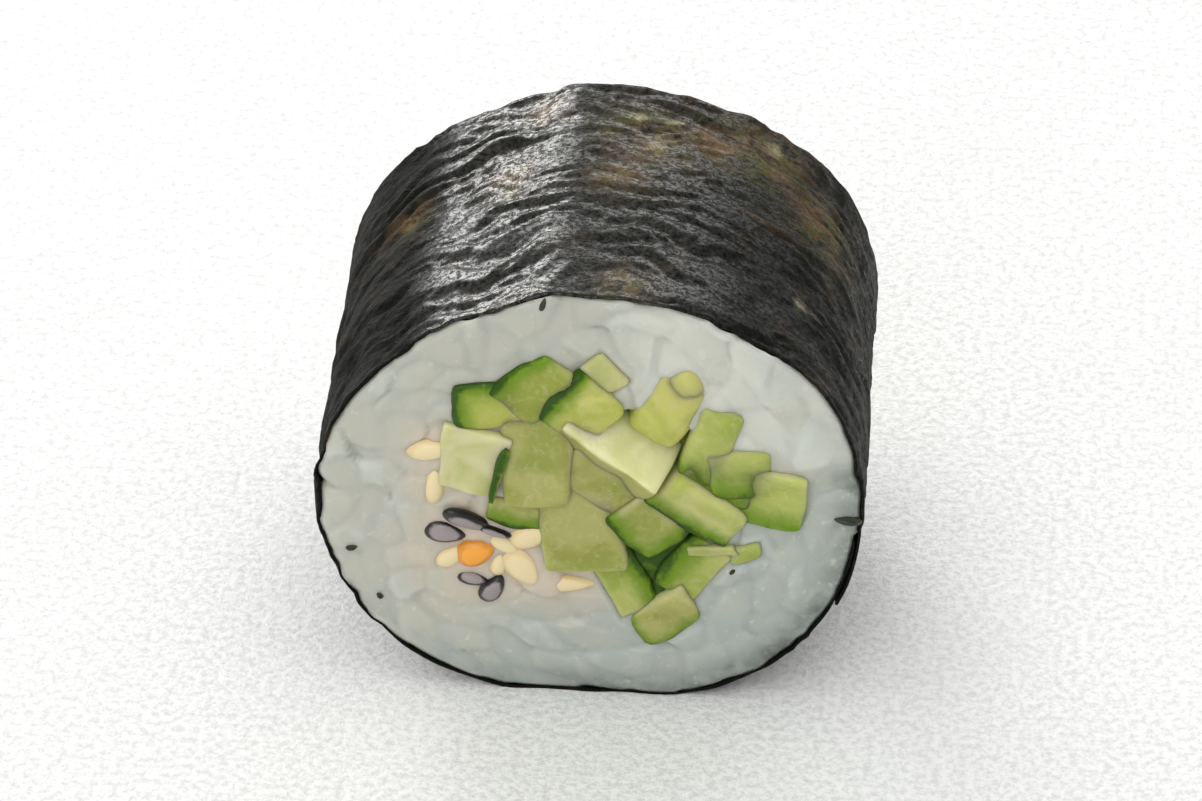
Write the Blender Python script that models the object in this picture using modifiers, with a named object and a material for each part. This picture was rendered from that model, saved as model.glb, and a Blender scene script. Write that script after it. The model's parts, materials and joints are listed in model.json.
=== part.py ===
"""One piece of cucumber maki: a nori sheet rolled round sushi rice, with chopped cucumber in the middle.

Metres, +Z up. The roll lies on its flattened underside with its axis along Y, and the cut face that shows most
looks along -Y. The origin is the middle of the base. It makes three bodies: nori_sheet, sushi_rice, which holds
its own grains and sesame seeds, and cucumber_filling.
"""

import math
import random
from typing import NamedTuple

import bmesh
import bpy
from mathutils import Matrix, Vector

MM = 0.001
DEG = math.radians(1)
FULL_TURN = 2 * math.pi

# The roll: half a sheet of nori, 190 mm long, is rolled up and cut in eight
HALF_SHEET_LENGTH = 190 * MM
PIECES_PER_ROLL = 8
ROLL_LENGTH = HALF_SHEET_LENGTH / PIECES_PER_ROLL
ROLL_WIDTH = 33.6 * MM
AXIS_HEIGHT = 14.6 * MM
CROWN = 15.2 * MM  # from the axis to the top of the nori
SAG = 15.1 * MM  # from the axis to where the underside would reach if the table didn't flatten it
SQUARENESS = 2.10  # exponent of the outline, where 2 is an ellipse
SQUARER_BELOW = 0.20
SQUARER_RIGHT = 0.12

# The nori and the seam where its outer end laps over its inner end
NORI_THICKNESS = 0.4 * MM
INNER_END = -6 * DEG
LAP = 19 * DEG
LAP_RAMP = 24 * DEG
LAP_GAP = 0.15 * MM
NORI_STEPS_AROUND = 74
NORI_STEPS_ALONG = 14
WRINKLES = 22
WRINKLE_HEIGHT = 0.32 * MM
WRINKLE_WIDTH = 1.5 * MM
WRINKLE_SPAN = 50 * DEG
EDGE_WAVE = 0.12 * MM

# The rice
CLEARANCE = 0.3 * MM  # between one body and the next
RICE_STEPS_AROUND = 64
RICE_RECESS = 0.3 * MM  # how far the rice between the grains lies behind the nori's edge
KNIFE_PROUD = 0.5 * MM  # the knife leaves no grain standing further out than this
GRAIN_SIZE = Vector((5.2, 2.5, 2.8)) * MM
GRAIN_DEPTH = (0.75 * MM, 1.1 * MM)
GRAIN_SPACING = 2.5 * MM
GRAIN_TRIES = 2500
GRAIN_FROM_NORI = 0.8 * MM
GRAIN_FROM_CUCUMBER = 0.2 * MM
GRAIN_SIDES = 6
GRAIN_RINGS = 4

# The sesame seeds
SEED_SIZE = Vector((3.0, 1.1, 1.8)) * MM
SEED_SINK = 0.1 * MM
SEED_TAPER = 0.45

# The cucumber
DICE_DEPTH = 7.0 * MM
DICE_BEVEL = 0.25 * MM
DICE_SKEW = 0.10
CORE_CENTRE = Vector((2.4, 0.0, 15.6)) * MM
CORE_HALF_WIDTH = 6.4 * MM
CORE_HALF_HEIGHT = 6.0 * MM
CORE_RECESS = 1.3 * MM
CORE_SIDES = 20
CUT_THROUGH = 5.0 * MM


class Dice(NamedTuple):
    """A chopped piece of cucumber that shows at the cut face, in millimetres and degrees."""

    x: float
    z: float
    width: float
    height: float
    turn: float
    reach: float = 0.3
    pitch: float = 0.0
    yaw: float = 0.0


CUCUMBER_DICE = (
    Dice(-5.7, 21.5, 4.5, 3.2, 6),
    Dice(-2.8, 23.0, 5.0, 3.5, 43, reach=0.5),
    Dice(0.0, 21.8, 3.7, 3.6, -35, reach=0.1),
    Dice(1.6, 23.9, 3.4, 2.6, -50, reach=-0.2),
    Dice(5.0, 21.3, 7.2, 4.4, 62, reach=0.5, pitch=-6),
    Dice(0.6, 17.7, 7.2, 4.0, -32, reach=1.8, pitch=20),
    Dice(-6.9, 17.4, 3.9, 4.6, -9, reach=1.0, yaw=-8),
    Dice(-3.2, 16.8, 4.0, 6.0, 3, reach=0.2),
    Dice(-4.6, 13.6, 3.6, 1.5, -12, reach=-0.2),
    Dice(-0.4, 12.2, 4.6, 7.2, 5, reach=0.1, pitch=-5),
    Dice(4.0, 12.9, 4.4, 4.4, 12, reach=0.4, yaw=10),
    Dice(7.0, 14.6, 6.0, 3.2, -38, reach=0.9, pitch=8),
    Dice(7.5, 18.9, 6.0, 2.9, 73, reach=0.5),
    Dice(9.5, 17.3, 4.2, 3.2, 35, reach=0.3, yaw=6),
    Dice(11.3, 15.4, 4.4, 3.9, 15, reach=0.7, yaw=-6),
    Dice(2.6, 8.8, 5.4, 2.4, -65, reach=0.1),
    Dice(6.0, 9.9, 4.6, 2.9, 58, reach=0.2),
    Dice(4.8, 6.1, 4.4, 2.9, 37, reach=0.4, pitch=6),
    Dice(8.6, 11.8, 3.8, 1.2, 16, reach=-0.2),
)
BACK_SHIFT = 0.8
BACK_TURN = 20
BACK_REACH = (-0.2, 0.9)
BACK_TILT = 10


class Seed(NamedTuple):
    """A sesame seed on a cut face, in millimetres and degrees."""

    x: float
    z: float
    turn: float
    black: bool = False


FRONT_SEEDS = (
    Seed(-8.9, 12.0, -14, black=True),
    Seed(-7.3, 13.2, -28, black=True),
    Seed(-7.2, 8.3, 12, black=True),
    Seed(-5.6, 7.7, 58, black=True),
    Seed(-4.0, 9.3, -60),
    Seed(-3.9, 11.6, 22),
    Seed(-8.2, 10.1, 40),
    Seed(-6.6, 10.6, -15),
    Seed(-9.5, 18.1, 10),
    Seed(-9.6, 15.5, 80),
    Seed(-2.2, 8.2, 8),
)
BACK_SEEDS = (
    Seed(-8.6, 12.6, 30, black=True),
    Seed(-7.0, 9.4, -35, black=True),
    Seed(-9.4, 16.4, 70),
    Seed(-5.2, 8.8, 10),
    Seed(9.4, 20.6, -40),
    Seed(11.0, 12.2, 50, black=True),
)


def clear_scene():
    """Removes every object that the file opened with."""
    for obj in list(bpy.data.objects):
        bpy.data.objects.remove(obj)


def make_collection(name):
    """A new collection in the scene."""
    made = bpy.data.collections.new(name)
    bpy.context.scene.collection.children.link(made)
    return made


def make_material(name, colour, roughness):
    """A Principled BSDF with one colour."""
    material = bpy.data.materials.new(name)
    material.use_nodes = True
    shader = material.node_tree.nodes["Principled BSDF"]
    shader.inputs["Base Color"].default_value = (*colour, 1.0)
    shader.inputs["Roughness"].default_value = roughness
    shader.inputs["Metallic"].default_value = 0.0
    return material


def make_object(name, shape, collection, material):
    """An object from a bmesh, which is freed."""
    mesh = bpy.data.meshes.new(name)
    shape.to_mesh(mesh)
    shape.free()
    mesh.materials.append(material)
    obj = bpy.data.objects.new(name, mesh)
    collection.objects.link(obj)
    return obj


def smoothstep(t):
    """0 below 0, 1 above 1 and an even slope between them."""
    t = min(max(t, 0.0), 1.0)
    return t * t * (3 - 2 * t)


def outline_radius(angle):
    """Distance from the roll's axis to the outside of the nori, at an angle from +X towards +Z."""
    across, up = math.cos(angle), math.sin(angle)
    power = SQUARENESS - SQUARER_BELOW * up + SQUARER_RIGHT * across
    half_height = CROWN if up > 0 else SAG
    total = abs(across / (ROLL_WIDTH / 2)) ** power + abs(up / half_height) ** power
    return total ** (-1 / power)


def outline_point(angle, inset, y):
    """A point that far inside the roll's outline. The table flattens the underside."""
    radius = outline_radius(angle) - inset
    return Vector((radius * math.cos(angle), y, max(AXIS_HEIGHT + radius * math.sin(angle), inset)))


def tuck(travel):
    """How far in the sheet lies under its own outer end, at an angle past its inner end."""
    return (NORI_THICKNESS + LAP_GAP) * (1 - smoothstep((travel - LAP) / LAP_RAMP))


def rice_outline(steps, y):
    """Points round the inside of the nori, a clearance off it. They step in where the sheet's inner end lies."""
    start = INNER_END + 1.2 * CLEARANCE / (ROLL_WIDTH / 2)
    points = []
    for step in range(steps + 1):
        travel = FULL_TURN * step / steps
        inset = tuck(travel) + NORI_THICKNESS + CLEARANCE
        points.append(outline_point(start - travel, inset, y))
    return points


def make_wrinkles(rng):
    """Long low puckers that run round the roll, as (angle, place along the roll, slope, height)."""
    found = []
    for number in range(WRINKLES):
        angle = FULL_TURN * (number + rng.random()) / WRINKLES
        along = ROLL_LENGTH * rng.uniform(-0.42, 0.42)
        found.append((angle, along, rng.uniform(-2.2, 2.2) * MM, rng.uniform(0.5, 1.0) * WRINKLE_HEIGHT))
    return found


def wrinkle_lift(wrinkles, angle, y):
    """How far the wrinkles lift the nori off the roll at one place."""
    lift = 0.0
    for middle, along, slope, height in wrinkles:
        away = (angle - middle + math.pi) % FULL_TURN - math.pi
        across = (y - along - slope * away) / WRINKLE_WIDTH
        fade = 1 - smoothstep(abs(away) / WRINKLE_SPAN)
        lift += height * fade * math.exp(-across * across)
    return min(lift, WRINKLE_HEIGHT)


def build_nori(collection, material):
    """A flat sheet wrapped round the roll, its outer end lapped over its inner end, given its thickness."""
    wrinkles = make_wrinkles(random.Random(4))
    sheet = bmesh.new()
    bmesh.ops.create_grid(sheet, x_segments=NORI_STEPS_AROUND, y_segments=NORI_STEPS_ALONG, size=0.5)
    for vert in sheet.verts:
        travel = (vert.co.x + 0.5) * (FULL_TURN + LAP)
        angle = INNER_END - travel
        y = vert.co.y * ROLL_LENGTH
        y += EDGE_WAVE * 2 * vert.co.y * math.sin(7 * angle + 2 * vert.co.y)
        vert.co = outline_point(angle, tuck(travel), y)
        above_table = smoothstep((vert.co.z - 2 * MM) / (5 * MM))
        above_seam = smoothstep((travel - LAP) / LAP_RAMP)
        outward = Vector((math.cos(angle), 0, math.sin(angle)))
        vert.co += outward * (wrinkle_lift(wrinkles, angle, y) * above_table * above_seam)
    nori = make_object("nori_sheet", sheet, collection, material)
    wall = nori.modifiers.new("Thickness", "SOLIDIFY")
    wall.thickness = NORI_THICKNESS
    wall.offset = -1
    wall.use_even_offset = True
    nori.data.shade_smooth()
    return nori


def build_prism(name, collection, material, half_length):
    """A prism that fills the nori, to a distance either side of the middle."""
    prism = bmesh.new()
    outline = rice_outline(RICE_STEPS_AROUND, -half_length)
    bmesh.ops.create_circle(prism, cap_ends=True, segments=len(outline), radius=1)
    for vert, point in zip(prism.verts, outline):
        vert.co = point
    pushed = bmesh.ops.extrude_face_region(prism, geom=list(prism.faces))
    moved = [item for item in pushed["geom"] if isinstance(item, bmesh.types.BMVert)]
    bmesh.ops.translate(prism, vec=(0, 2 * half_length, 0), verts=moved)
    bmesh.ops.recalc_face_normals(prism, faces=prism.faces)
    return make_object(name, prism, collection, material)


def build_ball(name, size, place, turns, collection, material, taper=0.0):
    """A long low ball with few sides, for a grain or a seed. Its length starts along X, and taper thins one end."""
    ball = bmesh.new()
    bmesh.ops.create_uvsphere(ball, u_segments=GRAIN_SIDES, v_segments=GRAIN_RINGS, radius=0.5)
    bmesh.ops.rotate(ball, matrix=Matrix.Rotation(math.pi / 2, 3, "Y"), verts=ball.verts)
    bmesh.ops.rotate(ball, matrix=Matrix.Rotation(math.pi / GRAIN_SIDES, 3, "X"), verts=ball.verts)
    for vert in ball.verts:
        narrower = 1 - taper * (vert.co.x + 0.5)
        vert.co = Vector((vert.co.x * size.x, vert.co.y * size.y * narrower, vert.co.z * size.z * narrower))
    turn, yaw, pitch = turns
    matrix = Matrix.Rotation(pitch, 3, "X") @ Matrix.Rotation(yaw, 3, "Z") @ Matrix.Rotation(-turn, 3, "Y")
    bmesh.ops.rotate(ball, matrix=matrix, verts=ball.verts)
    bmesh.ops.translate(ball, vec=place, verts=ball.verts)
    return make_object(name, ball, collection, material)


def in_dice(x, z, dice, margin):
    """Whether a spot on the cut face lies on a piece of cucumber or within a margin of it, in metres."""
    away = Matrix.Rotation(-dice.turn * DEG, 2) @ Vector((x - dice.x * MM, z - dice.z * MM))
    return abs(away.x) < dice.width / 2 * MM + margin and abs(away.y) < dice.height / 2 * MM + margin


def grain_spots(rng, dice_shown):
    """Spots on a cut face, a grain's width apart, clear of the nori and of the cucumber."""
    spots = []
    for _ in range(GRAIN_TRIES):
        x = rng.uniform(-0.5, 0.5) * ROLL_WIDTH
        z = rng.uniform(0.0, 1.0) * (AXIS_HEIGHT + CROWN)
        spot = Vector((x, z - AXIS_HEIGHT))
        angle = math.atan2(spot.y, spot.x)
        edge = outline_radius(angle) - NORI_THICKNESS - CLEARANCE - GRAIN_FROM_NORI
        low = z < NORI_THICKNESS + CLEARANCE + GRAIN_FROM_NORI
        if spot.length > edge or low or any((spot - other).length < GRAIN_SPACING for other in spots):
            continue
        if not any(in_dice(x, z, dice, GRAIN_FROM_CUCUMBER) for dice in dice_shown):
            spots.append(spot)
    return spots


def build_grains(side, rng, dice_shown, collection, material):
    """The rice grains that show at one cut face, each lying roughly along the outline."""
    for number, spot in enumerate(grain_spots(rng, dice_shown)):
        depth = ROLL_LENGTH / 2 - rng.uniform(*GRAIN_DEPTH)
        place = Vector((spot.x, side * depth, AXIS_HEIGHT + spot.y))
        along = math.atan2(spot.y, spot.x) + math.pi / 2 + rng.uniform(-50, 50) * DEG
        turns = (along, rng.uniform(-18, 18) * DEG, rng.uniform(-12, 12) * DEG)
        size = GRAIN_SIZE * rng.uniform(0.88, 1.08)
        build_ball(f"grain_{side}_{number}", size, place, turns, collection, material)


def build_seeds(side, seeds, collection, black, white):
    """The sesame seeds that lie on one cut face."""
    for number, seed in enumerate(seeds):
        place = Vector((seed.x * MM, side * (ROLL_LENGTH / 2 - SEED_SINK), seed.z * MM))
        turns = (seed.turn * DEG, 4 * DEG, 0.0)
        material = black if seed.black else white
        build_ball(f"seed_{side}_{number}", SEED_SIZE, place, turns, collection, material, SEED_TAPER)


def back_dice(rng):
    """The same cucumber where it comes out of the back face, each piece a little shifted and turned."""
    found = []
    for dice in CUCUMBER_DICE:
        found.append(
            dice._replace(
                x=dice.x + rng.uniform(-BACK_SHIFT, BACK_SHIFT),
                z=dice.z + rng.uniform(-BACK_SHIFT, BACK_SHIFT),
                turn=dice.turn + rng.uniform(-BACK_TURN, BACK_TURN),
                reach=rng.uniform(*BACK_REACH),
                pitch=rng.uniform(-BACK_TILT, BACK_TILT),
                yaw=rng.uniform(-BACK_TILT, BACK_TILT),
            )
        )
    return found


def build_dice(name, side, dice, rng, collection, material, grow=0.0, run_out=0.0):
    """One piece of cucumber, from a cut face inwards. grow fattens it and run_out lengthens its outer end."""
    length = DICE_DEPTH + dice.reach * MM
    shape = bmesh.new()
    bmesh.ops.create_cube(shape, size=1)
    skew = rng.uniform(-DICE_SKEW, DICE_SKEW)
    for vert in shape.verts:
        wide = dice.width * MM * (1 + skew * 2 * vert.co.z) + 2 * grow
        high = dice.height * MM * (1 - skew * 2 * vert.co.x) + 2 * grow
        inner = vert.co.y + 0.5
        vert.co = Vector((vert.co.x * wide, inner * (length + grow) - (1 - inner) * run_out, vert.co.z * high))
    bmesh.ops.rotate(shape, matrix=Matrix.Rotation(-dice.turn * DEG, 3, "Y"), verts=shape.verts)
    tilt = Matrix.Rotation(dice.yaw * DEG, 3, "Z") @ Matrix.Rotation(dice.pitch * DEG, 3, "X")
    bmesh.ops.rotate(shape, matrix=tilt, verts=shape.verts)
    if side > 0:
        bmesh.ops.scale(shape, vec=(1, -1, 1), verts=shape.verts)
        bmesh.ops.reverse_faces(shape, faces=shape.faces)
    face = side * (ROLL_LENGTH / 2 + dice.reach * MM)
    bmesh.ops.translate(shape, vec=(dice.x * MM, face, dice.z * MM), verts=shape.verts)
    made = make_object(name, shape, collection, material)
    if not grow:
        rounding = made.modifiers.new("Soft edges", "BEVEL")
        rounding.width = DICE_BEVEL
        rounding.segments = 1
    return made


def build_core(name, collection, material, grow, half_length):
    """The middle of the filling, a round-sided bar through the roll behind the pieces that show."""
    core = bmesh.new()
    bmesh.ops.create_cone(core, cap_ends=True, segments=CORE_SIDES, radius1=1, radius2=1, depth=2 * half_length)
    bmesh.ops.scale(core, vec=(CORE_HALF_WIDTH + grow, CORE_HALF_HEIGHT + grow, 1), verts=core.verts)
    bmesh.ops.rotate(core, matrix=Matrix.Rotation(math.pi / 2, 3, "X"), verts=core.verts)
    bmesh.ops.translate(core, vec=CORE_CENTRE, verts=core.verts)
    return make_object(name, core, collection, material)


def combine(target, operation, tools):
    """Applies one Boolean with a collection of tools, which are then removed."""
    joining = target.modifiers.new(operation.title(), "BOOLEAN")
    joining.operation = operation
    joining.operand_type = "COLLECTION"
    joining.collection = tools
    joining.solver = "MANIFOLD"
    graph = bpy.context.evaluated_depsgraph_get()
    made = bpy.data.meshes.new_from_object(target.evaluated_get(graph))
    target.modifiers.clear()
    target.data = made
    for tool in list(tools.objects):
        bpy.data.objects.remove(tool)


def keep_outer_body(obj):
    """Keeps the largest connected surface of a mesh: no crumbs beside it and no sealed hollows in it."""
    shape = bmesh.new()
    shape.from_mesh(obj.data)
    unseen = set(shape.verts)
    bodies = []
    while unseen:
        front = [unseen.pop()]
        body = list(front)
        while front:
            near = {edge.other_vert(vert) for vert in front for edge in vert.link_edges} & unseen
            unseen -= near
            front = list(near)
            body += front
        bodies.append(body)
    bodies.sort(key=len)
    for scrap in bodies[:-1]:
        bmesh.ops.delete(shape, geom=scrap, context="VERTS")
    shape.to_mesh(obj.data)
    shape.free()


def stand_on_origin(objects):
    """Moves the finished bodies so that the middle of their base is the origin."""
    graph = bpy.context.evaluated_depsgraph_get()
    corners = [obj.matrix_world @ Vector(c) for obj in objects for c in obj.evaluated_get(graph).bound_box]
    low, high = (Vector(map(pick, zip(*corners))) for pick in (min, max))
    for obj in objects:
        obj.data.transform(Matrix.Translation((-(low.x + high.x) / 2, -(low.y + high.y) / 2, -low.z)))


def main():
    """Builds the piece."""
    clear_scene()
    maki = make_collection("cucumber_maki")
    joined = make_collection("joined_pieces")
    trimmed = make_collection("knife_cut")
    cut_away = make_collection("cucumber_space")
    nori_black = make_material("nori", (0.012, 0.014, 0.010), 0.35)
    rice_white = make_material("rice", (0.62, 0.64, 0.58), 0.30)
    cucumber_green = make_material("cucumber", (0.36, 0.42, 0.10), 0.30)
    seed_black = make_material("black_sesame", (0.02, 0.015, 0.015), 0.45)
    seed_white = make_material("white_sesame", (0.72, 0.55, 0.28), 0.45)

    shown = {-1: CUCUMBER_DICE, 1: back_dice(random.Random(11))}
    nori = build_nori(maki, nori_black)

    filling = build_core("cucumber_filling", maki, cucumber_green, 0.0, ROLL_LENGTH / 2 - CORE_RECESS)
    for side, pieces in shown.items():
        for number, dice in enumerate(pieces):
            rng = random.Random(number)
            build_dice(f"dice_{side}_{number}", side, dice, rng, joined, cucumber_green)
    combine(filling, "UNION", joined)
    keep_outer_body(filling)

    rice = build_prism("sushi_rice", maki, rice_white, ROLL_LENGTH / 2 - RICE_RECESS)
    for side, seeds in ((-1, FRONT_SEEDS), (1, BACK_SEEDS)):
        build_grains(side, random.Random(7 + side), shown[side], joined, rice_white)
        build_seeds(side, seeds, joined, seed_black, seed_white)
    combine(rice, "UNION", joined)
    build_prism("knife_planes", trimmed, rice_white, ROLL_LENGTH / 2 + KNIFE_PROUD)
    combine(rice, "INTERSECT", trimmed)
    build_core("core_space", cut_away, rice_white, CLEARANCE, ROLL_LENGTH / 2 + CUT_THROUGH)
    for side, pieces in shown.items():
        for number, dice in enumerate(pieces):
            rng = random.Random(number)
            name = f"dice_space_{side}_{number}"
            build_dice(name, side, dice, rng, cut_away, rice_white, CLEARANCE, CUT_THROUGH)
    combine(rice, "DIFFERENCE", cut_away)
    keep_outer_body(rice)
    stand_on_origin([nori, rice, filling])


main()
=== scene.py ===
"""Dresses one piece of cucumber maki: crinkled nori, packed rice, chopped cucumber and sesame seeds.

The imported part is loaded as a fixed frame. Each of its three plain solids is replaced by finished pieces that lie in
the same place. Lengths are in metres where nothing else is said, +Z is up, and the front cut face looks along -Y.
"""

from __future__ import annotations

import json
import logging
import math
import random
from dataclasses import dataclass, replace
from enum import Enum
from typing import Optional, Sequence, Union

import bmesh
import bpy
from mathutils import Matrix, Vector, kdtree, noise

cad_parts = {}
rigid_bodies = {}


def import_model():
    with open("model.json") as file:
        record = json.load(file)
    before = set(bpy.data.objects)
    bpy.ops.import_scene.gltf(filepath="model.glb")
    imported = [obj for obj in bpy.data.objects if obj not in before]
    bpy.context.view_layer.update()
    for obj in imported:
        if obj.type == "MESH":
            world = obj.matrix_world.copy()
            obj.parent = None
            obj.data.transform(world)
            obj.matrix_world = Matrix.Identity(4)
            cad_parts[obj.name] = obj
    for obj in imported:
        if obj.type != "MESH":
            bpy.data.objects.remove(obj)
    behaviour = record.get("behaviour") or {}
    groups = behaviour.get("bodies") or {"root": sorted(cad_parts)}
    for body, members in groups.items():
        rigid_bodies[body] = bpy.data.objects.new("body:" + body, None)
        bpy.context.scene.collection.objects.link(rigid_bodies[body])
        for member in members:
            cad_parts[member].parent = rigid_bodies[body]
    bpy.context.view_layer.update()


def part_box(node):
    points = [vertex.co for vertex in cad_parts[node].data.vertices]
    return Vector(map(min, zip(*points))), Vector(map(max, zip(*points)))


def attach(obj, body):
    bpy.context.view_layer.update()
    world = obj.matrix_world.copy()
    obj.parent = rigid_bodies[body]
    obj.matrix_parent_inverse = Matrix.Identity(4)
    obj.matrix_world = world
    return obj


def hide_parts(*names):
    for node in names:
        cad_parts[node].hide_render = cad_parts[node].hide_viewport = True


MM = 0.001
DEG = math.radians(1)
FULL_TURN = 2 * math.pi
# The two cut faces, by the side of the roll's middle on which each lies along Y.
FRONT, BACK = -1, 1
EVEN = (1.0, 1.0, 1.0)
BODY = "root"

log = logging.getLogger("maki")

Colour = tuple[float, float, float]
Pair = tuple[float, float]
Input = Union[float, Sequence[float], "Value"]


def fade(value: float, low: float, high: float) -> float:
    """Returns 0 below low, 1 above high and a soft slope between them."""
    t = min(max((value - low) / (high - low), 0.0), 1.0)
    return t * t * (3 - 2 * t)


def bell(distance: float, width: float) -> float:
    """Returns 1 at no distance, and less and less beyond the width."""
    return math.exp(-((distance / width) ** 2))


def turn_past(start: float, angle: float) -> float:
    """Returns how far an angle lies past a starting one, up to half a turn to each side."""
    return (angle - start + math.pi) % FULL_TURN - math.pi


class Value:
    """A socket that takes part in Python arithmetic. Each operator adds a Math node."""

    def __init__(self, graph: "Graph", socket: bpy.types.NodeSocket) -> None:
        """Wraps one output socket of a graph."""
        self.graph = graph
        self.socket = socket

    def _join(self, operation: str, first: Input, second: Input) -> "Value":
        """Adds one Math node."""
        return self.graph.add("ShaderNodeMath", {"operation": operation}, {0: first, 1: second})

    def __add__(self, other: Input) -> "Value":
        """Adds."""
        return self._join("ADD", self, other)

    def __radd__(self, other: Input) -> "Value":
        """Adds, from the right."""
        return self._join("ADD", other, self)

    def __sub__(self, other: Input) -> "Value":
        """Subtracts."""
        return self._join("SUBTRACT", self, other)

    def __rsub__(self, other: Input) -> "Value":
        """Subtracts, from the right."""
        return self._join("SUBTRACT", other, self)

    def __mul__(self, other: Input) -> "Value":
        """Multiplies."""
        return self._join("MULTIPLY", self, other)

    def __rmul__(self, other: Input) -> "Value":
        """Multiplies, from the right."""
        return self._join("MULTIPLY", other, self)


@dataclass(frozen=True)
class Grain:
    """A noise pattern: how fine it is, how its finer layers look and how it is squeezed along each axis."""

    scale: float
    detail: float = 3.0
    rough: float = 0.6
    bend: float = 0.0
    squeeze: tuple[float, float, float] = EVEN


class Graph:
    """The node graph of one material, around one Principled BSDF."""

    def __init__(self, name: str) -> None:
        """Starts an empty graph in a new material.

        Args:
            name: The material's name.
        """
        self.material = bpy.data.materials.new(name)
        self.material.use_nodes = True
        self.tree = self.material.node_tree
        self.tree.nodes.clear()

    def add(self, kind: str, settings: dict, inputs: dict, output: Union[int, str] = 0) -> Value:
        """Adds a node.

        Args:
            kind: The node's type.
            settings: Its own settings, set before its sockets.
            inputs: A value or a link for each named or numbered socket.
            output: Which output socket to return.

        Returns:
            The output socket.
        """
        node = self.tree.nodes.new(kind)
        for name, setting in settings.items():
            setattr(node, name, setting)
        for key, value in inputs.items():
            if isinstance(value, Value):
                self.tree.links.new(value.socket, node.inputs[key])
            elif isinstance(value, (int, float)):
                node.inputs[key].default_value = value
            else:
                wanted = len(node.inputs[key].default_value)
                node.inputs[key].default_value = (*value, 1.0)[:wanted]
        return Value(self, node.outputs[output])

    def attribute(self, name: str, output: str = "Fac") -> Value:
        """Reads an attribute of the piece."""
        return self.add("ShaderNodeAttribute", {"attribute_name": name}, {}, output)

    def place(self) -> Value:
        """Reads the place on the piece, in metres."""
        return self.add("ShaderNodeTexCoord", {}, {}, "Object")

    def noise(self, vector: Value, grain: Grain) -> Value:
        """Adds a noise texture.

        Args:
            vector: Where it is read.
            grain: Its pattern.

        Returns:
            Its value, about 0.5 on average.
        """
        if grain.squeeze != EVEN:
            vector = self.add("ShaderNodeVectorMath", {"operation": "MULTIPLY"}, {0: vector, 1: grain.squeeze})
        sockets = {"Scale": grain.scale, "Detail": grain.detail, "Roughness": grain.rough, "Distortion": grain.bend}
        return self.add("ShaderNodeTexNoise", {}, {"Vector": vector, **sockets}, "Fac")

    def step(self, value: Value, low: float, high: float) -> Value:
        """Fades from 0 at low to 1 at high."""
        settings = {"interpolation_type": "SMOOTHSTEP"}
        return self.add("ShaderNodeMapRange", settings, {"Value": value, "From Min": low, "From Max": high})

    def mix(self, factor: Input, first: Input, second: Input, blend: str = "MIX") -> Value:
        """Mixes two colours."""
        settings = {"data_type": "RGBA", "blend_type": blend}
        return self.add("ShaderNodeMix", settings, {0: factor, 6: first, 7: second}, 2)

    def bump(self, height: Value, distance: float, strength: float, under: Optional[Value] = None) -> Value:
        """Turns a height into a normal.

        Args:
            height: The relief, 0 to 1.
            distance: Its depth in metres.
            strength: How much of it shows.
            under: The normal that it is laid over.

        Returns:
            The new normal.
        """
        sockets = {"Strength": strength, "Distance": distance, "Height": height}
        if under is not None:
            sockets["Normal"] = under
        return self.add("ShaderNodeBump", {}, sockets)

    def principled(self, sockets: dict) -> bpy.types.Material:
        """Closes the graph with a Principled BSDF.

        Args:
            sockets: A value or a link for each of its sockets.

        Returns:
            The material.
        """
        shader = self.add("ShaderNodeBsdfPrincipled", {}, sockets)
        end = self.tree.nodes.new("ShaderNodeOutputMaterial")
        self.tree.links.new(shader.socket, end.inputs["Surface"])
        return self.material


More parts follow.
